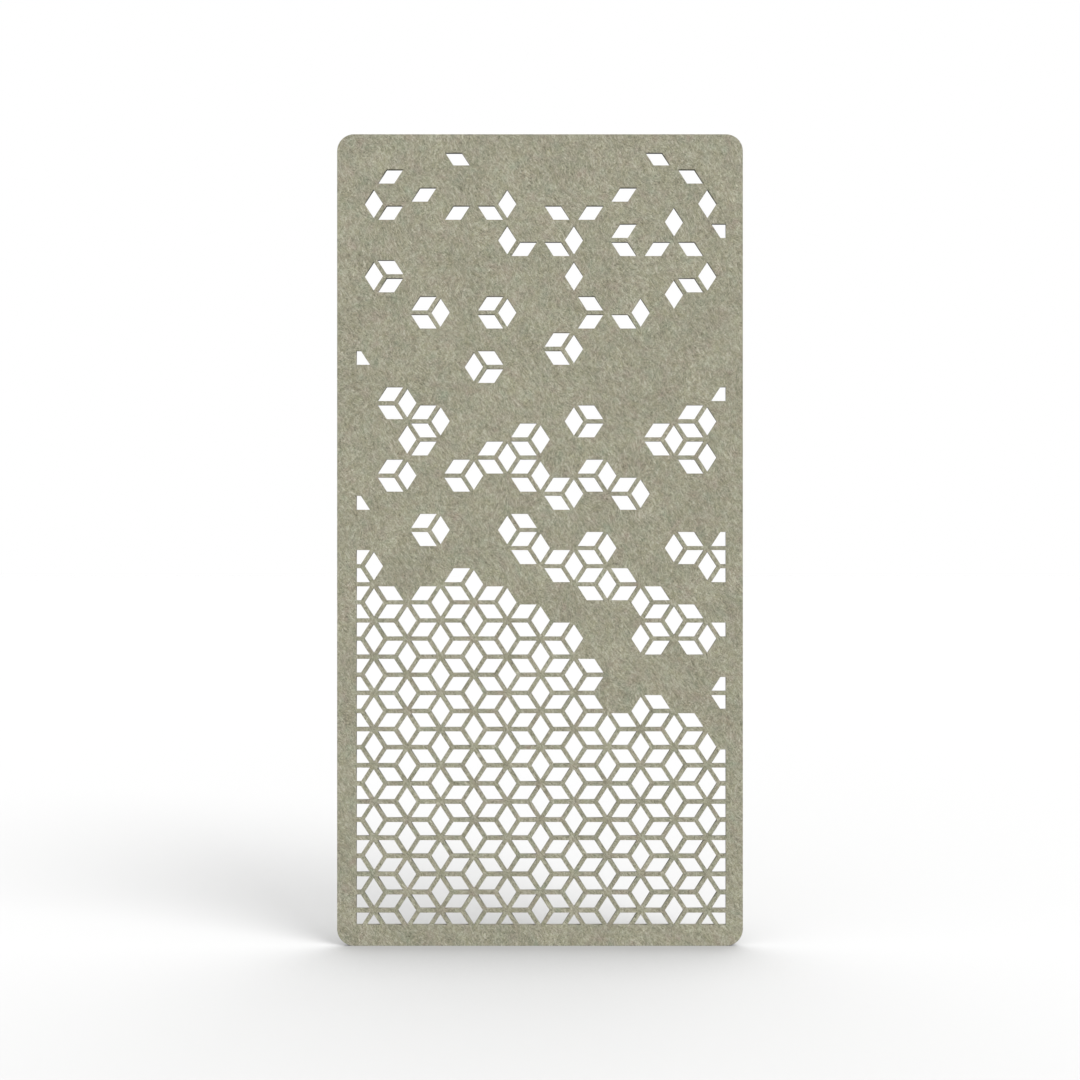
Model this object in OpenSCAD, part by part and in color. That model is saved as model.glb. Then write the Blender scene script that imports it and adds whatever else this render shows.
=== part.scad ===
// Hanging room divider panel.
// One board of pressed felt, cut through with a tumbling-block pattern that is scattered
// at the top and closes up to a full lattice near the floor, and two threaded anchors that
// are sunk into its top edge to hang it by.
// The board stands in the XZ plane on Z = 0, centred on X and Y, with its front towards -Y.

/* [Board] */
// Width of the board
board_w = 1200; // [1100:10:1500]
// Height of the board
board_h = 2400; // [2200:10:3000]
// Thickness of the pressed felt
board_t = 12; // [12:1:24]
// Radius of the four corners of the board
corner_r = 50; // [5:1:100]

/* [Pattern window] */
// Plain felt to the left of the pattern
margin_left = 57; // [30:1:120]
// Plain felt to the right of the pattern
margin_right = 50; // [30:1:120]
// Plain felt above the pattern
margin_top = 55; // [45:1:100]
// Plain felt below the pattern
margin_bottom = 62; // [30:1:120]

/* [Pattern cells] */
// Distance between two neighbouring columns of upright cells
column_pitch = 98.7; // [85:0.1:115]
// Height of one level, which is half the distance between two upright cells in a column
level_pitch = 53.6; // [48:0.1:64]
// Width of an upright cell, measured between the middles of its bars
upright_w = 69.6; // [62:0.1:76]
// Width of the felt bars between the cells
bar_w = 12.3; // [8:0.1:16]
// Distance of the middle column to the right of the board's centre line
pattern_shift = 1.75; // [-20:0.05:20]
// Distance of level 0 below the top edge
pattern_drop = 205.4; // [180:0.1:240]

/* [Hanging anchors] */
// Distance of an anchor's axis from the side of the board next to it
anchor_inset = 150; // [120:10:350]
// Outer diameter of an anchor
anchor_d = 8; // [7.5:0.1:9]
// Diameter of the anchor's threaded bore, at its crests
thread_d = 5; // [4:0.1:5.4]
// Length of the threaded bore
thread_l = 26; // [12:0.5:28]
// Closed felt-side end of the anchor, below the tip of the bore
anchor_end = 2.5; // [1.5:0.1:4]
// Depth of the countersink at the mouth of the bore
mouth_depth = 0.6; // [0.3:0.1:0.8]
// Distance between two grip grooves
groove_pitch = 4; // [3:0.1:6]
// Width of a grip groove
groove_w = 1.6; // [0.8:0.1:2.4]
// Depth of a grip groove
groove_depth = 0.5; // [0.2:0.05:0.7]
// Depth of the anchor's mouth below the top edge of the felt
anchor_sink = 0.4; // [0:0.1:2]
// Gap for glue around and below the anchor
glue_gap = 0.1; // [0.05:0.05:0.3]

/* [Hidden] */
$fn = 96;
felt_colour = "#9F9D89";
brass_colour = "#B99B5A";

// The pattern stands on columns and levels. Columns count from the left and levels from
// the top. An upright cell is centred on a column and a level whose sum is even. A slanted
// cell is centred in the gap to the right of a column and in the band below a level, and
// it is named by those two.
middle_column = 5;
half_upright = upright_w / 2;

// Each cell is the outline between the middles of its bars, taken in by half a bar.
bar_angle = atan2(level_pitch, half_upright);
upright_scale = 1 - bar_w / 2 / (half_upright * sin(bar_angle));
upright_x = half_upright * upright_scale;
upright_z = level_pitch * upright_scale;
slanted_edge = column_pitch - half_upright - bar_w / sin(bar_angle);
slanted_h = level_pitch - bar_w;
slanted_lean = slanted_h / tan(bar_angle);

// The window is the part of the board that the pattern may cut.
window_left = -board_w / 2 + margin_left;
window_right = board_w / 2 - margin_right;
window_top = board_h - margin_top;
window_bottom = margin_bottom;

// Lattice: the level from which every cell below is open, for each column from column 0
// and for each gap from the one left of column 0. Past the ends the last value holds.
lattice_uprights = [20, 23, 22, 21, 22, 23, 24, 29, 28, 29, 30];
lattice_slants = [19, 21, 21, 20, 21, 22, 23, 25, 28, 27, 28, 30];
first_column = floor(middle_column + (window_left - pattern_shift) / column_pitch);
last_column = ceil(middle_column + (window_right - pattern_shift) / column_pitch);
last_level = ceil((board_h - pattern_drop - window_bottom) / level_pitch);

// Cubes above the lattice: an upright cell with the two slanted cells on one side of it.
cubes_to_the_right = [
    [0, 4], [3, 9], [6, 12], [4, 18], [9, 19], [10, 20], [7, 21], [8, 22], [9, 23], [8, 24]
];
cubes_to_the_left = [
    [2, 6], [4, 6], [6, 8], [1, 11], [2, 12], [10, 12], [5, 13], [9, 13], [4, 14], [10, 14],
    [1, 15], [3, 15], [5, 15], [7, 15], [6, 16], [8, 16], [2, 18], [7, 19], [6, 20]
];

// Single cells above the lattice.
single_uprights = [
    [0, 0], [4, 0], [10, 0], [9, 1], [4, 2], [6, 2], [6, 4], [10, 4], [9, 5], [8, 6],
    [1, 13], [5, 19], [10, 24]
];
single_slants = [
    [2, -3], [8, -3], [0, -2], [9, -2], [1, -1], [7, -1],
    [0, 0], [2, 0], [3, 0], [5, 0], [6, 0], [7, 1], [10, 1],
    [4, 2], [5, 2], [7, 2], [8, 2], [9, 2], [9, 4], [6, 5], [6, 6], [7, 6],
    [-1, 8], [10, 10], [1, 13], [-1, 16], [10, 18], [4, 19], [6, 20], [6, 21],
    [10, 23], [9, 24], [10, 26], [10, 27]
];

// Anchors
anchor_x = board_w / 2 - anchor_inset;
bore_r = thread_d / 2;
anchor_r = anchor_d / 2;
drill_angle = 118;
drill_point = bore_r / tan(drill_angle / 2);
anchor_l = mouth_depth + thread_l + drill_point + anchor_end;
anchor_nose = anchor_r - bore_r;
groove_count = floor((anchor_l - anchor_nose) / groove_pitch) - 1;
seat_r = anchor_r + glue_gap;
seat_depth = anchor_sink + anchor_l + glue_gap;
past = 1;

function is_even(n) = n % 2 == 0;
function held(list, i) = list[max(0, min(len(list) - 1, i))];
function column_x(column) = pattern_shift + (column - middle_column) * column_pitch;
function level_z(level) = board_h - pattern_drop - level * level_pitch;

// Whether a cell centred on x, z with these half sizes reaches into the window
function in_window(x, z, half_w, half_h) =
    x + half_w > window_left && x - half_w < window_right
    && z + half_h > window_bottom && z - half_h < window_top;

module window() {
    translate([window_left, window_bottom])
        square([window_right - window_left, window_top - window_bottom]);
}

// A cell is cut short where the window ends.
module clipped(x, z, half_w, half_h) {
    whole = x - half_w >= window_left && x + half_w <= window_right
        && z - half_h >= window_bottom && z + half_h <= window_top;
    if (whole) translate([x, z]) children();
    else if (in_window(x, z, half_w, half_h)) intersection() {
        translate([x, z]) children();
        window();
    }
}

module upright(column, level) {
    clipped(column_x(column), level_z(level), upright_x, upright_z)
        polygon([[0, upright_z], [upright_x, 0], [0, -upright_z], [-upright_x, 0]]);
}

// Slanted cells lean to the right and to the left by turns, like the bars beside them.
module slanted(gap, band) {
    side = is_even(gap + band) ? 1 : -1;
    shift = side * slanted_lean / 2;
    clipped(column_x(gap + 0.5), level_z(band + 0.5),
            (slanted_edge + slanted_lean) / 2, slanted_h / 2)
        polygon([
            [shift - slanted_edge / 2, slanted_h / 2],
            [shift + slanted_edge / 2, slanted_h / 2],
            [-shift + slanted_edge / 2, -slanted_h / 2],
            [-shift - slanted_edge / 2, -slanted_h / 2]
        ]);
}

// An upright cell with the two slanted cells in the gap beside it
module cube_of_cells(column, level, gap) {
    upright(column, level);
    slanted(gap, level - 1);
    slanted(gap, level);
}

module lattice() {
    for (column = [first_column : last_column])
        for (level = [held(lattice_uprights, column) : last_level])
            if (is_even(column + level)) upright(column, level);
    for (gap = [first_column : last_column])
        for (band = [held(lattice_slants, gap + 1) : last_level])
            slanted(gap, band);
}

module scattered_cells() {
    for (at = cubes_to_the_right) cube_of_cells(at[0], at[1], at[0]);
    for (at = cubes_to_the_left) cube_of_cells(at[0], at[1], at[0] - 1);
    for (at = single_uprights) upright(at[0], at[1]);
    for (at = single_slants) slanted(at[0], at[1]);
}

module board_outline() {
    inner_w = board_w - 2 * corner_r;
    inner_h = board_h - 2 * corner_r;
    translate([-board_w / 2, corner_r]) square([board_w, inner_h]);
    translate([-inner_w / 2, 0]) square([inner_w, board_h]);
    for (x = [-inner_w / 2, inner_w / 2], z = [corner_r, board_h - corner_r])
        translate([x, z]) circle(r = corner_r);
}

// Puts an anchor, or its seat, on its own axis with the top edge of the board at Z = 0
module at_anchor(side) {
    translate([side * anchor_x, 0, board_h]) children();
}

module felt_board() {
    color(felt_colour) difference() {
        translate([0, board_t / 2, 0]) rotate([90, 0, 0])
            linear_extrude(board_t) difference() {
                board_outline();
                lattice();
                scattered_cells();
            }
        for (side = [-1, 1])
            at_anchor(side) translate([0, 0, -seat_depth])
                cylinder(r = seat_r, h = seat_depth + past);
    }
}

// Threaded sleeve: countersunk mouth, blind bore with a drilled point, chamfered nose,
// and turned grooves that the glue and the felt grip
module hanging_anchor(side) {
    mouth_z = -anchor_sink;
    nose_z = mouth_z - anchor_l;
    bore_end_z = mouth_z - mouth_depth - thread_l;
    color(brass_colour) at_anchor(side) difference() {
        rotate_extrude() polygon([
            [0, nose_z],
            [anchor_r - anchor_nose, nose_z],
            [anchor_r, nose_z + anchor_nose],
            [anchor_r, mouth_z],
            [bore_r + mouth_depth, mouth_z],
            [bore_r, mouth_z - mouth_depth],
            [bore_r, bore_end_z],
            [0, bore_end_z - drill_point]
        ]);
        for (i = [1 : groove_count])
            translate([0, 0, mouth_z - i * groove_pitch - groove_w / 2]) difference() {
                cylinder(r = anchor_r + past, h = groove_w);
                cylinder(r = anchor_r - groove_depth, h = groove_w);
            }
    }
}

module hanging_anchor_left() hanging_anchor(-1);
module hanging_anchor_right() hanging_anchor(1);

felt_board();
hanging_anchor_left();
hanging_anchor_right();
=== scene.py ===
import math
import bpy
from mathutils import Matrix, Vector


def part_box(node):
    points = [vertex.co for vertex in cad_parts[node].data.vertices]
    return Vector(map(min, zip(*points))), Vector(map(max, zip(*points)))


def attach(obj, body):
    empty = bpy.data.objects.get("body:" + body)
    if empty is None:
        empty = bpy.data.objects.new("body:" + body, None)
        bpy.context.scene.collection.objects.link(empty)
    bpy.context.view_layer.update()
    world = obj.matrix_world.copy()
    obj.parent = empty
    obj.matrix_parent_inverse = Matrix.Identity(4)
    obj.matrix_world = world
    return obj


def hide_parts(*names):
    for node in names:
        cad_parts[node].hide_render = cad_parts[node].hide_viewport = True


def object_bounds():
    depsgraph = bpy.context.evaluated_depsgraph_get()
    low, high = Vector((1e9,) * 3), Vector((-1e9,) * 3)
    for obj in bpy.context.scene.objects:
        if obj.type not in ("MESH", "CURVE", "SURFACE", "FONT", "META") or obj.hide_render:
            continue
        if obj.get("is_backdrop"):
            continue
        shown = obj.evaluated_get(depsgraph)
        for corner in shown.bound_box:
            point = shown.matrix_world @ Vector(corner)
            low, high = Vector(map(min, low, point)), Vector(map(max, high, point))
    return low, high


bl_info = {
    "name": "Hanging Room Divider Panel",
    "version": (1, 0, 0),
    "blender": (4, 5, 0),
    "location": "3D View > Sidebar > Room Divider",
    "description": "A cut board of pressed felt with the two anchors that it hangs by",
    "category": "Add Mesh",
}

import bmesh
import bpy
from bpy.props import FloatProperty, FloatVectorProperty, IntProperty, PointerProperty
from mathutils import Matrix, Vector

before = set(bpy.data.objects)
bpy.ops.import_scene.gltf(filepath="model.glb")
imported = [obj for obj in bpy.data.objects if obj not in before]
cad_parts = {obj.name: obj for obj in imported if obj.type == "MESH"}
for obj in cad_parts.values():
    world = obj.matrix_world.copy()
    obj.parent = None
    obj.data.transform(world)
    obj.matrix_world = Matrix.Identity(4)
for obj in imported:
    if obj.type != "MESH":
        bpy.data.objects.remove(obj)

CAD_LOW, CAD_HIGH = (Vector(corner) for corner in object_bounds())
MM = 0.001
BODY = "root"
FELT_NODE = "felt_board"
ANCHOR_NODES = ("hanging_anchor_left", "hanging_anchor_right")

# The felt. Sizes are in millimetres: across, through the board and along. A real fibre is about
# 0.03 mm thick and a pixel of the render is 3 mm, so the fibres are drawn about twenty times as
# thick as they are, and the hairs and marks as coarse as they need to be to show. Leans are in
# degrees from upright, and seeds keep one lay from looking like the next.
LAYER = 1.3  # thickness of one lay of the carded web
SEED_STEP = (97, 31, 53)  # how far a seed of 1 moves the pattern of a lay
SWIRL = {"wave": 160, "reach": 60, "through": 0}  # slow bends of the whole web
CURL = {"wave": 16, "reach": 9, "through": 0.1}  # crimp of the fibres
HAIR_CURL = {"wave": 24, "reach": 16, "through": 0.1}
FIBRE_SIZE = (0.55, 0.5, 6.0)  # one straight run of a curled fibre
FIBRE_LAYS = ((-38, 20), (12, 21), (-75, 22))  # lean and seed, the lowest lay first
FIBRE_EDGE = (0.5, 0.0)  # distances from a fibre's middle, in its sizes: its edge and its crown
LOWEST_EDGE = (0.8, 0.0)  # the same in the lowest lay, which closes up under the others
FIBRE_COVER = 0.42  # distance from its middle within which a fibre hides those below
FIBRE_TONE = 0.32  # how much lighter or darker than the rest one fibre can be
FIBRE_TINT = (0.0, 0.052, 0.042)  # how far apart fibres can be in red, green and blue
HAIR_SIZE = (0.9, 0.8, 34.0)  # one long loose hair
HAIR_LAYS = ((-25, 30), (-70, 31), (40, 32))
HAIR_EDGE = (0.34, 0.24)  # the same for a hair, which is flat within its crown
HAIR_COVER = 0.6  # how much of the colour below a hair hides
HAIR_MIX = (0.3, 0.7)  # random numbers below which a hair is dark and above which it is pale
STRAND_SIZE = (2.1, LAYER, 19.0)  # a bundle of fibres that the card left together
GRAIN_SIZE = (2.3, LAYER, 7.0)  # a run of lighter or darker fibres
PIT_SIZE = (2.0, LAYER, 6.0)  # a gap between fibres, or a mark of a needle, coloured dark as painted shade

# Lean, size and seed of each kind of mark, and the noise at which it begins and at which it is full
PALE_MARKS = (
    (-38, STRAND_SIZE, 0, 0.54, 0.82),
    (-10, STRAND_SIZE, 1, 0.54, 0.82),
    (35, STRAND_SIZE, 2, 0.54, 0.82),
    (-40, GRAIN_SIZE, 11, 0.5, 0.0),
)
# Dark grain is the fibres' own colour, and the dark of the pits is painted shade
DARK_MARKS = (
    (-40, GRAIN_SIZE, 11, 0.5, 1.0),
    (-30, PIT_SIZE, 12, 0.51, 0.7),
)
WARM_BLOTCH = {"size": 45, "seed": 0}
STRAW_BLOTCH = {"size": 30, "seed": 5}
WEB_BLOTCH = {"size": 130, "seed": 9}  # a thicker or thinner place of the web
WEB_TONE = 0.065  # how much lighter or darker such a place is
WALL_DEPTH = 1.4  # depth at which the painted shade on a cut wall is as dark as it gets, in edge softnesses
FELT_RELIEF = 0.12 * MM  # height of a fibre over those below

# The brass
TOOL_MARK = 0.15 * MM  # distance between two tool marks, which is their real size
TOOL_RELIEF = 0.01 * MM  # height of a tool mark
RING_ROUGHNESS = (0.3, 0.7, 0.26, 0.42)  # two levels of the rings' noise, and the roughness there
RING_SHADE = (0.2, 0.8, 0.9, 1.0)  # the same for the share of its colour that the brass keeps
DRILL_POINT = math.radians(118)  # angle of the point that a twist drill leaves
BROKEN_EDGE = 0.15 * MM  # chamfer of the outer edge at the mouth
THREAD_ROWS = 8  # rows of faces in one turn of the thread
THREAD_FLANKS = 7 / 8  # share of the pitch that the V of the thread takes up

# The stage
FLOOR_SAMPLES = 8  # rays that find out how open the floor is to the sky, for its painted contact shadow
LAMPS = ("key_light", "side_light", "back_light")

# The meshes
ROUND_STEPS = 3  # faces across the rounding at a cut
FACING = 0.99  # share of a normal along Y above which a face belongs to the front or the back
SMOOTH_ANGLE = math.radians(28)  # two faces that meet at more than this have a sharp edge
MERGE = 0.001 * MM  # points closer than this are one
TOUCH = 0.01 * MM  # a point closer than this to a plane or a cylinder lies on it

# Nodes. A Mix node's sockets share their names, so its values and results go by number.
VECTOR_A, VECTOR_B, VECTOR_RESULT = 4, 5, 1
COLOUR_A, COLOUR_B, COLOUR_RESULT = 6, 7, 2
SOFT_STEP = {"interpolation_type": "SMOOTHSTEP"}
PLAIN_NOISE = {"Detail": 1.0, "Roughness": 0.5}
NOISE_RANGE = (0.32, 0.68)  # what noise really spans between 0 and 1
NOISE_MIDDLE = (0.5, 0.5, 0.5)


# ---------------------------------------------------------------- colours and nodes


def linear(hex_colour):
    """Turns an sRGB hex colour into the linear values that Blender stores."""
    parts = [int(hex_colour[i : i + 2], 16) / 255 for i in (1, 3, 5)]
    return tuple(c / 12.92 if c <= 0.04045 else ((c + 0.055) / 1.055) ** 2.4 for c in parts)


def add(tree, kind, inputs=(), **settings):
    """Adds a node with its settings. An input is given as a value or as the socket that feeds it,
    and goes by its name, or by its number where several sockets of a node share one name."""
    node = tree.nodes.new(kind)
    for name, value in settings.items():
        setattr(node, name, value)
    for key, value in dict(inputs).items():
        if isinstance(value, bpy.types.NodeSocket):
            tree.links.new(value, node.inputs[key])
        else:
            node.inputs[key].default_value = value
    return node


def new_material(name):
    """An empty material with its node tree."""
    material = bpy.data.materials.new(name)
    material.use_nodes = True
    material.node_tree.nodes.clear()
    return material, material.node_tree


# ---------------------------------------------------------------- settings


class FeltBoardSettings(bpy.types.PropertyGroup):
    """Sizes and colours of the pressed felt."""

    edge_softness: FloatProperty(
        name="Edge softness",
        description="Radius to which the pressed faces round over at a cut",
        default=0.5 * MM,
        min=0.1 * MM,
        max=2 * MM,
        unit="LENGTH",
    )
    # Painted shade: how far the cut walls' colour is darkened beside the pressed faces, for the
    # shade in the cut-outs
    painted_cut_shade: FloatProperty(
        name="Cut shade",
        description="How light the cut walls are beside the pressed faces",
        default=0.45,
        min=0,
        max=1,
    )
    warm_colour: FloatVectorProperty(
        name="Warm felt",
        description="Colour of the melange where it is warmer",
        subtype="COLOR",
        default=linear("#9E9082"),
        min=0,
        max=1,
    )
    cool_colour: FloatVectorProperty(
        name="Cool felt",
        description="Colour of the melange where it is greener",
        subtype="COLOR",
        default=linear("#8E9681"),
        min=0,
        max=1,
    )
    straw_colour: FloatVectorProperty(
        name="Straw felt",
        description="Colour of the melange where it is yellower",
        subtype="COLOR",
        default=linear("#97957B"),
        min=0,
        max=1,
    )
    pale_fibre_colour: FloatVectorProperty(
        name="Pale fibres",
        description="Colour of the pale fibres that lie on top",
        subtype="COLOR",
        default=linear("#C7C4B1"),
        min=0,
        max=1,
    )
    # The dark fibres and hairs are the felt's own colour, and in the pits this colour is painted
    # shade
    dark_fibre_and_pit_shade_colour: FloatVectorProperty(
        name="Dark fibres",
        description="Colour of the dark fibres and of the pits between fibres",
        subtype="COLOR",
        default=linear("#5D5B48"),
        min=0,
        max=1,
    )


class AnchorSettings(bpy.types.PropertyGroup):
    """Sizes and colour of the threaded anchors. Their outer size and place come from the frame."""

    bore_radius: FloatProperty(
        name="Bore radius",
        description="Radius of the thread at its crests",
        default=2.5 * MM,
        min=1 * MM,
        unit="LENGTH",
    )
    thread_pitch: FloatProperty(
        name="Thread pitch",
        description="Rise of the thread in one turn",
        default=1 * MM,
        min=0.5 * MM,
        unit="LENGTH",
    )
    thread_depth: FloatProperty(
        name="Thread depth",
        description="Depth of the thread below its crests",
        default=0.5 * MM,
        min=0.1 * MM,
        unit="LENGTH",
    )
    thread_length: FloatProperty(
        name="Thread length",
        description="Length of the threaded bore",
        default=26 * MM,
        min=5 * MM,
        unit="LENGTH",
    )
    countersink: FloatProperty(
        name="Countersink",
        description="Depth and width of the funnel at the mouth of the bore",
        default=0.6 * MM,
        min=0.1 * MM,
        unit="LENGTH",
    )
    groove_pitch: FloatProperty(
        name="Groove pitch",
        description="Distance between two grip grooves",
        default=4 * MM,
        min=1 * MM,
        unit="LENGTH",
    )
    groove_width: FloatProperty(
        name="Groove width",
        description="Width of a grip groove",
        default=1.6 * MM,
        min=0.2 * MM,
        unit="LENGTH",
    )
    groove_depth: FloatProperty(
        name="Groove depth",
        description="Depth of a grip groove",
        default=0.5 * MM,
        min=0.1 * MM,
        unit="LENGTH",
    )
    nose: FloatProperty(
        name="Nose",
        description="Height and width of the chamfer at the closed end",
        default=1.5 * MM,
        min=0.1 * MM,
        unit="LENGTH",
    )
    knurl_depth: FloatProperty(
        name="Knurl depth",
        description="Depth of the knurling between the grip grooves",
        default=0.15 * MM,
        min=0,
        unit="LENGTH",
    )
    knurl_ridges: IntProperty(
        name="Knurl ridges",
        description="Ridges of the knurling around an anchor",
        default=36,
        min=12,
    )
    brass_colour: FloatVectorProperty(
        name="Brass",
        description="Colour of the turned brass",
        subtype="COLOR",
        default=linear("#C6A765"),
        min=0,
        max=1,
    )


class StageSettings(bpy.types.PropertyGroup):
    """The camera, the floor and the lights."""

    camera_distance: FloatProperty(
        name="Camera distance",
        description="Distance from the camera to the board's front face",
        default=3.855,
        min=1,
        unit="LENGTH",
    )
    camera_angle: FloatProperty(
        name="Field of view",
        description="Angle that the square picture takes in",
        default=math.radians(45),
        subtype="ANGLE",
    )
    floor_size: FloatProperty(
        name="Floor size",
        description="Length of a side of the floor",
        default=80,
        unit="LENGTH",
    )
    floor_colour: FloatVectorProperty(
        name="Floor",
        description="Floor as the camera sees it, which is white where nothing shades it",
        subtype="COLOR",
        default=linear("#B3B3B3"),
        min=0,
        max=1,
    )
    floor_bounce: FloatVectorProperty(
        name="Floor bounce",
        description="Floor as the light that it throws up sees it",
        subtype="COLOR",
        default=linear("#383838"),
        min=0,
        max=1,
    )
    # Painted shadow: the floor's colour is darkened beside the board, on top of the shadow that the
    # lights cast
    painted_contact_shadow: FloatProperty(
        name="Contact shade",
        description="How much darker the floor gets where the board stands on it",
        default=0.45,
        min=0,
        max=1,
    )
    painted_shadow_reach: FloatProperty(
        name="Contact reach",
        description="How far from the board the floor gets darker",
        default=0.35,
        min=0.01,
        unit="LENGTH",
    )
    sky_strength: FloatProperty(
        name="Sky strength",
        description="Strength of the even studio light from all around",
        default=1.325,
        min=0,
    )
    lamp_strength: FloatVectorProperty(
        name="Lamp strengths",
        description="Strengths of the key light, the side light and the back light",
        default=(0.725, 0.225, 0.205),
        min=0,
    )
    lamp_turn: FloatVectorProperty(
        name="Lamp turns",
        description="How far round from the board's front each light stands, towards the right",
        default=[math.radians(turn) for turn in (50, 120, 180)],
        subtype="EULER",
    )
    lamp_height: FloatVectorProperty(
        name="Lamp heights",
        description="Angle of each light above the floor",
        default=[math.radians(height) for height in (50, 50, 60)],
        subtype="EULER",
    )
    lamp_spread: FloatVectorProperty(
        name="Lamp spreads",
        description="Angle that each light fills, which softens its shadow",
        default=[math.radians(spread) for spread in (30, 60, 60)],
        subtype="EULER",
    )


# ---------------------------------------------------------------- materials


def wander(tree, place, wave, reach, through):
    """Shifts a place to and fro, so that what is drawn there bends. Wave and reach are in
    millimetres, and through the board the shift is only this share of the reach."""
    noise = add(
        tree, "ShaderNodeTexNoise", {"Vector": place, "Scale": 1 / wave, **PLAIN_NOISE}
    ).outputs["Color"]
    shift = add(
        tree, "ShaderNodeVectorMath", {0: noise, 1: NOISE_MIDDLE}, operation="SUBTRACT"
    ).outputs[0]
    return add(
        tree,
        "ShaderNodeVectorMath",
        {0: shift, 1: (reach, reach * through, reach), 2: place},
        operation="MULTIPLY_ADD",
    ).outputs[0]


def lay(lean, size, seed):
    """The inputs of a Mapping node for one lay of fibres. As a texture mapping they take a place in
    the board into the lay, where a fibre is one unit in each direction, and as a point mapping
    they take it back."""
    return {
        "Location": [step * seed for step in SEED_STEP],
        "Rotation": (0, math.radians(lean), 0),
        "Scale": size,
    }


def marks(tree, place, kinds):
    """The strongest of several kinds of mark, from 0 to 1. Each is noise drawn out along its lean,
    and comes up softly between two levels."""
    strongest = 0.0
    for lean, size, seed, begins, full in kinds:
        laid = add(
            tree,
            "ShaderNodeMapping",
            {"Vector": place, **lay(lean, size, seed)},
            vector_type="TEXTURE",
        ).outputs["Vector"]
        noise = add(
            tree, "ShaderNodeTexNoise", {"Vector": laid, "Scale": 1.0, **PLAIN_NOISE}
        ).outputs["Fac"]
        mark = add(
            tree,
            "ShaderNodeMapRange",
            {"Value": noise, "From Min": begins, "From Max": full},
            **SOFT_STEP,
        ).outputs["Result"]
        strongest = add(
            tree, "ShaderNodeMath", {0: strongest, 1: mark}, operation="MAXIMUM"
        ).outputs[0]
    return strongest


def cloud(tree, place, size, seed):
    """Soft noise from 0 to 1 with blotches of this size in millimetres."""
    noise = add(
        tree,
        "ShaderNodeTexNoise",
        {"Vector": place, "W": seed, "Scale": 1 / size, "Detail": 2.0, "Roughness": 0.6},
        noise_dimensions="4D",
    ).outputs["Fac"]
    low, high = NOISE_RANGE
    return add(
        tree, "ShaderNodeMapRange", {"Value": noise, "From Min": low, "From Max": high}
    ).outputs["Result"]


def single_fibres(tree, place, lean, size, seed, edge):
    """Parts one lay of the felt into single fibres. Gives the distance from the middle of the
    nearest one, its height from 0 at the edge to 1 at the crown, a random colour of its own, and
    the place of its middle."""
    inputs = lay(lean, size, seed)
    laid = add(
        tree, "ShaderNodeMapping", {"Vector": place, **inputs}, vector_type="TEXTURE"
    ).outputs["Vector"]
    cells = add(tree, "ShaderNodeTexVoronoi", {"Vector": laid, "Scale": 1.0}).outputs
    height = add(
        tree,
        "ShaderNodeMapRange",
        {"Value": cells["Distance"], "From Min": edge[0], "From Max": edge[1]},
        **SOFT_STEP,
    ).outputs["Result"]
    middle = add(
        tree, "ShaderNodeMapping", {"Vector": cells["Position"], **inputs}, vector_type="POINT"
    ).outputs["Vector"]
    return cells["Distance"], height, cells["Color"], middle


def crossed_fibres(tree, place):
    """Single fibres in several lays, the lower ones crossed by others on top. Gives their height,
    the random colour of the fibre on top, and the place of its middle."""
    (lean, seed), *upper_lays = FIBRE_LAYS
    _, height, own, middle = single_fibres(tree, place, lean, FIBRE_SIZE, seed, LOWEST_EDGE)
    for lean, seed in upper_lays:
        distance, crown, other, centre = single_fibres(
            tree, place, lean, FIBRE_SIZE, seed, FIBRE_EDGE
        )
        on_top = add(
            tree, "ShaderNodeMath", {0: distance, 1: FIBRE_COVER}, operation="LESS_THAN"
        ).outputs[0]
        own, middle = (
            add(
                tree,
                "ShaderNodeMix",
                {"Factor": on_top, VECTOR_A: below, VECTOR_B: above},
                data_type="VECTOR",
            ).outputs[VECTOR_RESULT]
            for below, above in ((own, other), (middle, centre))
        )
        height = add(tree, "ShaderNodeMath", {0: height, 1: crown}, operation="MAXIMUM").outputs[0]
    return height, own, middle


def melange(tree, place, settings):
    """Colour of the felt: soft blotches of a cool, a warm and a straw felt, with dark grain, with
    painted shade in the pits, and with pale grain and strands over them."""
    colour = (*settings.cool_colour, 1)
    for share, stain in (
        (cloud(tree, place, **WARM_BLOTCH), settings.warm_colour),
        (cloud(tree, place, **STRAW_BLOTCH), settings.straw_colour),
        (marks(tree, place, DARK_MARKS), settings.dark_fibre_and_pit_shade_colour),
        (marks(tree, place, PALE_MARKS), settings.pale_fibre_colour),
    ):
        colour = add(
            tree,
            "ShaderNodeMix",
            {"Factor": share, COLOUR_A: colour, COLOUR_B: (*stain, 1)},
            data_type="RGBA",
        ).outputs[COLOUR_RESULT]
    return colour


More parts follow.
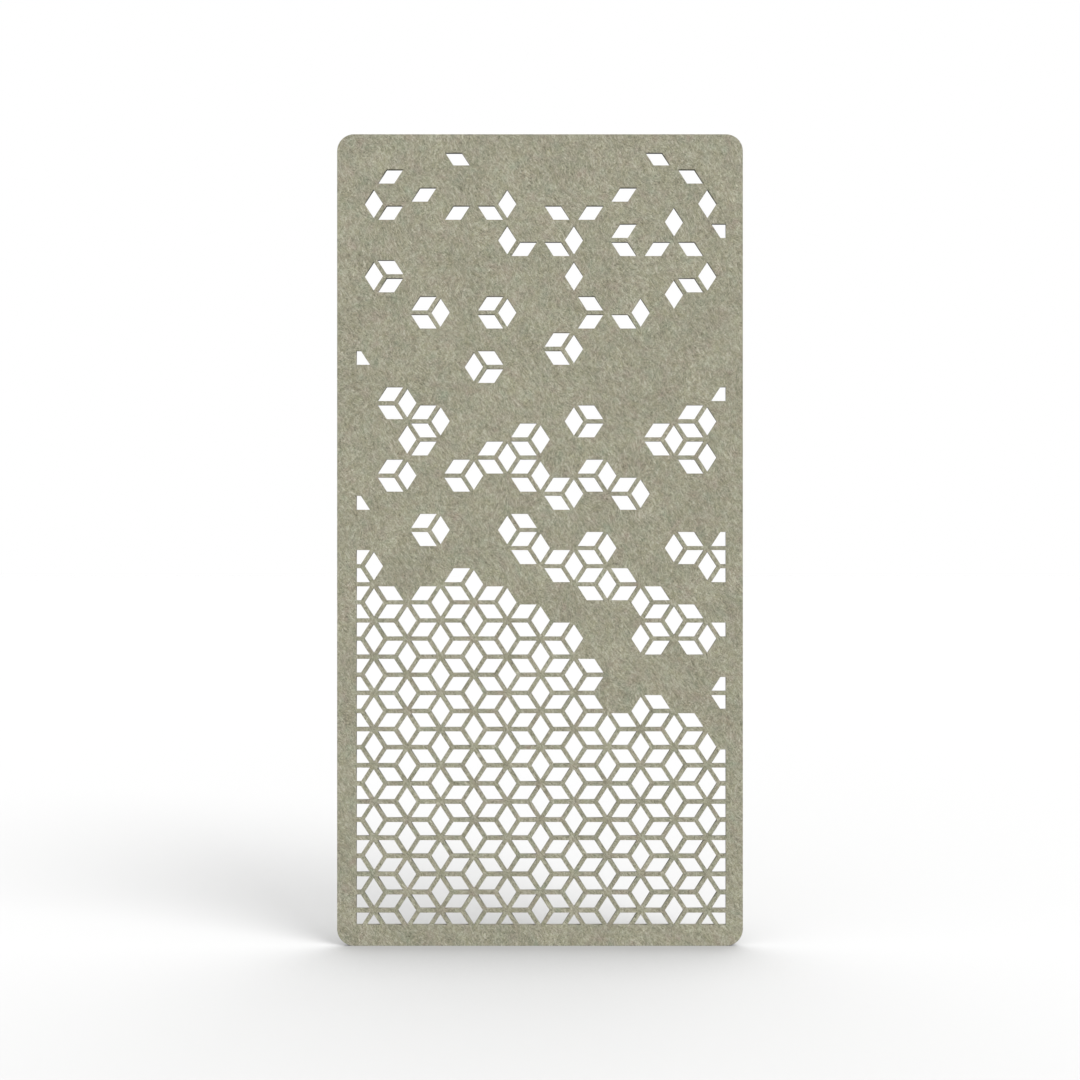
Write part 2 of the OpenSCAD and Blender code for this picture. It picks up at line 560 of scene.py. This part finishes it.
def long_hairs(tree, place, colour, height, settings):
    """Long hairs over the felt, some pale and some dark. Gives the colour and height with them."""
    dark = (*settings.dark_fibre_and_pit_shade_colour, 1)
    pale = (*settings.pale_fibre_colour, 1)
    for lean, seed in HAIR_LAYS:
        _, on_top, own, _ = single_fibres(tree, place, lean, HAIR_SIZE, seed, HAIR_EDGE)
        cover = add(
            tree, "ShaderNodeMath", {0: on_top, 1: HAIR_COVER}, operation="MULTIPLY"
        ).outputs[0]
        chance = add(tree, "ShaderNodeSeparateXYZ", {0: own}).outputs[0]
        share = add(
            tree,
            "ShaderNodeMapRange",
            {"Value": chance, "From Min": HAIR_MIX[0], "From Max": HAIR_MIX[1]},
            **SOFT_STEP,
        ).outputs["Result"]
        hair = add(
            tree,
            "ShaderNodeMix",
            {"Factor": share, COLOUR_A: dark, COLOUR_B: pale},
            data_type="RGBA",
        ).outputs[COLOUR_RESULT]
        colour = add(
            tree,
            "ShaderNodeMix",
            {"Factor": cover, COLOUR_A: colour, COLOUR_B: hair},
            data_type="RGBA",
        ).outputs[COLOUR_RESULT]
        height = add(
            tree, "ShaderNodeMath", {0: height, 1: on_top}, operation="MAXIMUM"
        ).outputs[0]
    return colour, height


def tinted_fibres(tree, colour, own):
    """Gives each fibre a slight tint of its own. Returns the tinted colour and the fibre's tone."""
    tinted = add(
        tree,
        "ShaderNodeVectorMath",
        {0: own, 1: FIBRE_TINT, 2: [1 - stray / 2 for stray in FIBRE_TINT]},
        operation="MULTIPLY_ADD",
    ).outputs[0]
    colour = add(
        tree, "ShaderNodeVectorMath", {0: colour, 1: tinted}, operation="MULTIPLY"
    ).outputs[0]
    chance = add(tree, "ShaderNodeSeparateXYZ", {0: own}).outputs[0]
    tone = add(
        tree,
        "ShaderNodeMapRange",
        {"Value": chance, "To Min": 1 - FIBRE_TONE, "To Max": 1 + FIBRE_TONE},
    ).outputs["Result"]
    return colour, tone


def painted_wall_shade(tree, place, settings):
    """1 on the pressed faces and darker on the cut walls: painted shade of the cut-outs and open
    fibre ends.
    """
    through = add(tree, "ShaderNodeSeparateXYZ", {0: place}).outputs["Y"]
    depth = add(tree, "ShaderNodeMath", {0: through}, operation="ABSOLUTE").outputs[0]
    skin = CAD_HIGH.y / MM
    return add(
        tree,
        "ShaderNodeMapRange",
        {
            "Value": depth,
            "From Min": skin - WALL_DEPTH * settings.edge_softness / MM,
            "From Max": skin,
            "To Min": settings.painted_cut_shade,
        },
    ).outputs["Result"]


def pressed_felt(settings):
    """Polyester fibre board, carded, needled and hot pressed: matt, with curled strokes of pale and
    dark fibre that mostly lean one way, over soft blotches of a warmer and a greener melange."""
    material, tree = new_material("pressed_felt")
    where = add(tree, "ShaderNodeTexCoord").outputs["Object"]
    in_mm = add(
        tree, "ShaderNodeVectorMath", {0: where, "Scale": 1 / MM}, operation="SCALE"
    ).outputs["Vector"]

    swirled = wander(tree, in_mm, **SWIRL)
    curled = wander(tree, swirled, **CURL)
    curled_hairs = wander(tree, swirled, **HAIR_CURL)

    # The colour is looked up at the middle of each fibre, so that the fibre has one all along.
    height, own, middle = crossed_fibres(tree, curled)
    colour = melange(tree, middle, settings)
    colour, height = long_hairs(tree, curled_hairs, colour, height, settings)
    colour, tone = tinted_fibres(tree, colour, own)

    web = add(
        tree,
        "ShaderNodeMapRange",
        {
            "Value": cloud(tree, in_mm, **WEB_BLOTCH),
            "To Min": 1 - WEB_TONE,
            "To Max": 1 + WEB_TONE,
        },
    ).outputs["Result"]
    # The web's blotches are the felt's own tone, and the darkening of the walls is painted shade
    for shade in (web, painted_wall_shade(tree, in_mm, settings)):
        tone = add(tree, "ShaderNodeMath", {0: tone, 1: shade}, operation="MULTIPLY").outputs[0]
    colour = add(
        tree, "ShaderNodeVectorMath", {0: colour, "Scale": tone}, operation="SCALE"
    ).outputs[0]
    bump = add(
        tree, "ShaderNodeBump", {"Height": height, "Strength": 0.4, "Distance": FELT_RELIEF}
    ).outputs["Normal"]
    shader = add(
        tree,
        "ShaderNodeBsdfPrincipled",
        {
            "Base Color": colour,
            "Roughness": 0.95,
            "Specular IOR Level": 0.2,
            "Sheen Weight": 0.1,
            "Sheen Roughness": 0.6,
            "Normal": bump,
        },
    )
    add(tree, "ShaderNodeOutputMaterial", {"Surface": shader.outputs["BSDF"]})
    return material


def turned_brass(settings, axis_x):
    """Free-cutting brass turned on a lathe: a warm pale metal with fine rings left by the tool,
    around axes at this distance on either side of the board's middle."""
    material, tree = new_material("turned_brass")
    where = add(tree, "ShaderNodeTexCoord").outputs["Object"]
    one_side = add(tree, "ShaderNodeVectorMath", {0: where}, operation="ABSOLUTE").outputs[0]
    centred = add(
        tree, "ShaderNodeMapping", {"Vector": one_side, "Location": (-axis_x, 0, 0)}
    ).outputs["Vector"]
    x, y, height = add(tree, "ShaderNodeSeparateXYZ", {"Vector": centred}).outputs
    flat = add(tree, "ShaderNodeCombineXYZ", {"X": x, "Y": y}).outputs["Vector"]
    radius = add(tree, "ShaderNodeVectorMath", {0: flat}, operation="LENGTH").outputs["Value"]
    along = add(tree, "ShaderNodeMath", {0: radius, 1: height}, operation="ADD").outputs[0]
    rings = add(
        tree,
        "ShaderNodeTexNoise",
        {"W": along, "Scale": 1 / TOOL_MARK, "Detail": 2.0},
        noise_dimensions="1D",
    ).outputs["Fac"]
    rough, shade = (
        add(
            tree,
            "ShaderNodeMapRange",
            {"Value": rings, "From Min": low, "From Max": high, "To Min": least, "To Max": most},
        ).outputs["Result"]
        for low, high, least, most in (RING_ROUGHNESS, RING_SHADE)
    )
    colour = add(
        tree, "ShaderNodeVectorMath", {0: settings.brass_colour, "Scale": shade}, operation="SCALE"
    ).outputs[0]
    bump = add(
        tree, "ShaderNodeBump", {"Height": rings, "Strength": 0.3, "Distance": TOOL_RELIEF}
    ).outputs["Normal"]
    shader = add(
        tree,
        "ShaderNodeBsdfPrincipled",
        {"Base Color": colour, "Metallic": 1.0, "Roughness": rough, "Normal": bump},
    )
    add(tree, "ShaderNodeOutputMaterial", {"Surface": shader.outputs["BSDF"]})
    return material


def studio_floor(settings):
    """Matt painted floor: the camera sees it white, with a painted contact shadow close to the
    board that stands on it, and it throws up little light."""
    material, tree = new_material("studio_floor")
    colour = add(
        tree,
        "ShaderNodeMix",
        {
            "Factor": seen_directly(tree),
            COLOUR_A: (*settings.floor_bounce, 1),
            COLOUR_B: (*settings.floor_colour, 1),
        },
        data_type="RGBA",
    ).outputs[COLOUR_RESULT]
    # Painted contact shadow: the floor's colour gets darker where the board is near
    openness = add(
        tree,
        "ShaderNodeAmbientOcclusion",
        {"Distance": settings.painted_shadow_reach},
        samples=FLOOR_SAMPLES,
    ).outputs["AO"]
    light = add(
        tree, "ShaderNodeMapRange", {"Value": openness, "To Min": 1 - settings.painted_contact_shadow}
    ).outputs["Result"]
    shaded = add(
        tree, "ShaderNodeVectorMath", {0: colour, "Scale": light}, operation="SCALE"
    ).outputs[0]
    diffuse = add(tree, "ShaderNodeBsdfDiffuse", {"Color": shaded})
    add(tree, "ShaderNodeOutputMaterial", {"Surface": diffuse.outputs["BSDF"]})
    return material


def seen_directly(tree):
    """1 for the camera's rays and for those that come by way of a gloss or through glass."""
    rays = add(tree, "ShaderNodeLightPath").outputs
    seen = rays["Is Camera Ray"]
    for other in (rays["Is Glossy Ray"], rays["Is Transmission Ray"]):
        seen = add(tree, "ShaderNodeMath", {0: seen, 1: other}, operation="MAXIMUM").outputs[0]
    return seen


# ---------------------------------------------------------------- meshes


def merged_copy(node):
    """A bmesh of a CAD node's mesh with its loose triangles joined."""
    bm = bmesh.new()
    bm.from_mesh(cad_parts[node].data)
    bmesh.ops.remove_doubles(bm, verts=bm.verts[:], dist=MERGE)
    return bm


def make_piece(name, bm, material, replaced):
    """Turns a bmesh into a piece that rides on the board's body and stands for CAD nodes."""
    mesh = bpy.data.meshes.new(name)
    bm.to_mesh(mesh)
    bm.free()
    mesh.materials.append(material)
    piece = bpy.data.objects.new(name, mesh)
    bpy.context.scene.collection.objects.link(piece)
    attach(piece, BODY)
    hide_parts(*replaced)
    return piece


def soften_cut(bm, side, radius):
    """Rounds one pressed face over at every cut. The face sinks, steps in and up again along a
    quarter round, and is then laid anew as one flat fill. Side is 1 or -1 along Y."""
    plane = CAD_HIGH.y if side > 0 else CAD_LOW.y
    face = [f for f in bm.faces if all(abs(v.co.y - plane) < TOUCH for v in f.verts)]
    corners = {v for f in face for v in f.verts}
    bmesh.ops.translate(bm, verts=list(corners), vec=(0, -side * radius, 0))
    turns = [math.radians(90) * i / ROUND_STEPS for i in range(ROUND_STEPS + 1)]
    for before, after in zip(turns, turns[1:]):
        bmesh.ops.inset_region(
            bm,
            faces=face,
            thickness=radius * (math.cos(before) - math.cos(after)),
            depth=radius * (math.sin(after) - math.sin(before)),
            use_even_offset=True,
            use_boundary=True,
        )
    inside = set(face)
    edges = [e for f in face for e in f.edges]
    rim = [e for e in edges if any(other not in inside for other in e.link_faces)]
    bmesh.ops.delete(bm, geom=face, context="FACES")
    rim = [e for e in rim if e.is_valid]
    bmesh.ops.triangle_fill(bm, edges=rim, use_beauty=True, normal=(0, side, 0))


def sleeve_outline(settings, top, bottom, outer):
    """Half of the sleeve's section, from the tip of the bore round to the middle of its nose."""
    bore = settings.bore_radius
    bore_top = top - settings.countersink
    bore_end = bore_top - settings.thread_length
    tip = bore_end - bore / math.tan(DRILL_POINT / 2)
    rows = round(settings.thread_length / settings.thread_pitch * THREAD_ROWS)
    points = [(0, tip)]
    points += [(bore, bore_end + (bore_top - bore_end) * row / rows) for row in range(rows + 1)]
    points.append((bore + settings.countersink, top))
    points += [(outer - BROKEN_EDGE, top), (outer, top - BROKEN_EDGE)]
    half = settings.groove_width / 2
    floor = outer - settings.groove_depth
    slope = settings.groove_depth / 2
    groove = top - settings.groove_pitch
    while groove - half > bottom + settings.nose:
        points += [(outer, groove + half), (floor, groove + half - slope)]
        points += [(floor, groove - half + slope), (outer, groove - half)]
        groove -= settings.groove_pitch
    points += [(outer, bottom + settings.nose), (outer - settings.nose, bottom), (0, bottom)]
    return points, bore_end, bore_top


def thread_reach(settings, height, turn, bore_end, bore_top):
    """Depth of the thread at this height and turn: a V that runs out at both ends of the bore."""
    at = (height / settings.thread_pitch - turn / math.tau) % 1
    flank = max(0, 1 - abs(2 * at - 1) / THREAD_FLANKS)
    run_in = min(height - bore_end, bore_top - height) / settings.thread_pitch
    return settings.thread_depth * flank * min(1, max(0, run_in))


def anchor_mesh(settings, node):
    """A turned sleeve around the axis of a CAD anchor, with a cut thread and knurled bands. Also
    gives the axis's distance to the right of the board's middle."""
    low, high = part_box(node)
    axis = Vector(((low.x + high.x) / 2, (low.y + high.y) / 2, 0))
    outer = (high.x - low.x) / 2
    points, bore_end, bore_top = sleeve_outline(settings, high.z, low.z, outer)
    bm = bmesh.new()
    verts = [bm.verts.new((r, 0, z)) for r, z in points]
    edges = [bm.edges.new(pair) for pair in zip(verts, verts[1:])]
    steps = settings.knurl_ridges * 2
    bmesh.ops.spin(
        bm,
        geom=verts + edges,
        cent=(0, 0, 0),
        axis=(0, 0, 1),
        angle=math.tau,
        steps=steps,
        use_merge=True,
    )
    bmesh.ops.remove_doubles(bm, verts=bm.verts[:], dist=MERGE)
    bmesh.ops.recalc_face_normals(bm, faces=bm.faces[:])
    for v in bm.verts:
        turn = math.atan2(v.co.y, v.co.x) % math.tau
        radius = math.hypot(v.co.x, v.co.y)
        if abs(radius - settings.bore_radius) < TOUCH:
            new_radius = radius + thread_reach(settings, v.co.z, turn, bore_end, bore_top)
        elif abs(radius - outer) < TOUCH and round(turn / math.tau * steps) % 2:
            new_radius = radius - settings.knurl_depth
        else:
            continue
        v.co.xy = v.co.xy * (new_radius / radius)
    bmesh.ops.translate(bm, verts=bm.verts[:], vec=axis)
    for f in bm.faces:
        f.smooth = True
    for e in bm.edges:
        e.smooth = len(e.link_faces) == 2 and e.calc_face_angle() < SMOOTH_ANGLE
    return bm, axis.x


# ---------------------------------------------------------------- operators


class DIVIDER_OT_felt_board(bpy.types.Operator):
    """Adds the felt board with softened cuts"""

    bl_idname = "divider.felt_board"
    bl_label = "Felt board"

    def execute(self, context):
        settings = context.scene.divider_board
        bm = merged_copy(FELT_NODE)
        for side in (-1, 1):
            soften_cut(bm, side, settings.edge_softness)
        for f in bm.faces:
            f.smooth = abs(f.normal.y) < FACING
        make_piece("pressed_felt_board", bm, pressed_felt(settings), [FELT_NODE])
        return {"FINISHED"}


class DIVIDER_OT_hanging_anchors(bpy.types.Operator):
    """Adds the two threaded anchors in the top edge"""

    bl_idname = "divider.hanging_anchors"
    bl_label = "Hanging anchors"

    def execute(self, context):
        settings = context.scene.divider_anchors
        brass = None
        for node in ANCHOR_NODES:
            bm, axis_x = anchor_mesh(settings, node)
            brass = brass or turned_brass(settings, abs(axis_x))
            make_piece(node.replace("hanging", "threaded"), bm, brass, [node])
        return {"FINISHED"}


class DIVIDER_OT_stage(bpy.types.Operator):
    """Adds the camera, the floor and the lights"""

    bl_idname = "divider.stage"
    bl_label = "Camera, floor and lights"

    def execute(self, context):
        settings = context.scene.divider_stage
        add_camera(context.scene, settings)
        add_floor(settings)
        add_lamps(settings)
        light_world(context.scene, settings)
        context.scene.view_settings.view_transform = "Standard"
        return {"FINISHED"}


def add_camera(scene, settings):
    """A camera straight in front of the board, at the height of its middle."""
    data = bpy.data.cameras.new("camera")
    data.angle = settings.camera_angle
    camera = bpy.data.objects.new("camera", data)
    camera.location = (0, CAD_LOW.y - settings.camera_distance, (CAD_LOW.z + CAD_HIGH.z) / 2)
    camera.rotation_euler = (math.radians(90), 0, 0)
    scene.collection.objects.link(camera)
    scene.camera = camera


def add_floor(settings):
    """One flat floor under the board that reaches past the horizon of the picture."""
    bm = bmesh.new()
    bmesh.ops.create_grid(bm, x_segments=1, y_segments=1, size=settings.floor_size / 2)
    bmesh.ops.translate(bm, verts=bm.verts[:], vec=(0, 0, CAD_LOW.z))
    mesh = bpy.data.meshes.new("floor")
    bm.to_mesh(mesh)
    bm.free()
    mesh.materials.append(studio_floor(settings))
    floor = bpy.data.objects.new("floor", mesh)
    bpy.context.scene.collection.objects.link(floor)
    floor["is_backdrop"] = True


def add_lamps(settings):
    """Three wide lights: the key to the front right, one at the side and one behind. A sun of
    strength pi lights what faces it as brightly as a sky of strength 1 all around."""
    for i, name in enumerate(LAMPS):
        data = bpy.data.lights.new(name, "SUN")
        data.energy = settings.lamp_strength[i] * math.pi
        data.angle = settings.lamp_spread[i]
        light = bpy.data.objects.new(name, data)
        tilt = Matrix.Rotation(math.radians(90) - settings.lamp_height[i], 4, "X")
        turn = Matrix.Rotation(settings.lamp_turn[i], 4, "Z")
        light.matrix_world = turn @ tilt
        bpy.context.scene.collection.objects.link(light)


def light_world(scene, settings):
    """An even studio sky that the camera sees as plain white."""
    world = bpy.data.worlds.new("studio")
    world.use_nodes = True
    tree = world.node_tree
    tree.nodes.clear()
    white_light = (*linear("#FFFFFF"), 1)
    sky, white = (
        add(tree, "ShaderNodeBackground", {"Color": white_light, "Strength": strength}).outputs[0]
        for strength in (settings.sky_strength, 1.0)
    )
    shader = add(tree, "ShaderNodeMixShader", {0: seen_directly(tree), 1: sky, 2: white})
    add(tree, "ShaderNodeOutputWorld", {"Surface": shader.outputs[0]})
    scene.world = world


class DIVIDER_PT_sidebar(bpy.types.Panel):
    """Lists what can be added, with its sizes and colours"""

    bl_idname = "DIVIDER_PT_sidebar"
    bl_label = "Room Divider"
    bl_space_type = "VIEW_3D"
    bl_region_type = "UI"
    bl_category = "Room Divider"

    def draw(self, context):
        for name, (settings, operator) in GROUPS.items():
            box = self.layout.box()
            for setting in settings.__annotations__:
                box.prop(getattr(context.scene, name), setting)
            box.operator(operator.bl_idname)


# Under what name a scene keeps each group of settings, and the operator that uses them
GROUPS = {
    "divider_board": (FeltBoardSettings, DIVIDER_OT_felt_board),
    "divider_anchors": (AnchorSettings, DIVIDER_OT_hanging_anchors),
    "divider_stage": (StageSettings, DIVIDER_OT_stage),
}
CLASSES = (*(cls for pair in GROUPS.values() for cls in pair), DIVIDER_PT_sidebar)


def register():
    """Adds the operators and the panel to Blender, and the settings to its scenes."""
    for cls in CLASSES:
        bpy.utils.register_class(cls)
    for name, (settings, _) in GROUPS.items():
        setattr(bpy.types.Scene, name, PointerProperty(type=settings))


def unregister():
    """Takes out what register added."""
    for name in GROUPS:
        delattr(bpy.types.Scene, name)
    for cls in reversed(CLASSES):
        bpy.utils.unregister_class(cls)


def main():
    """Builds the dressed part."""
    register()
    bpy.ops.divider.stage()
    bpy.ops.divider.felt_board()
    bpy.ops.divider.hanging_anchors()


if __name__ == "__main__":
    main()
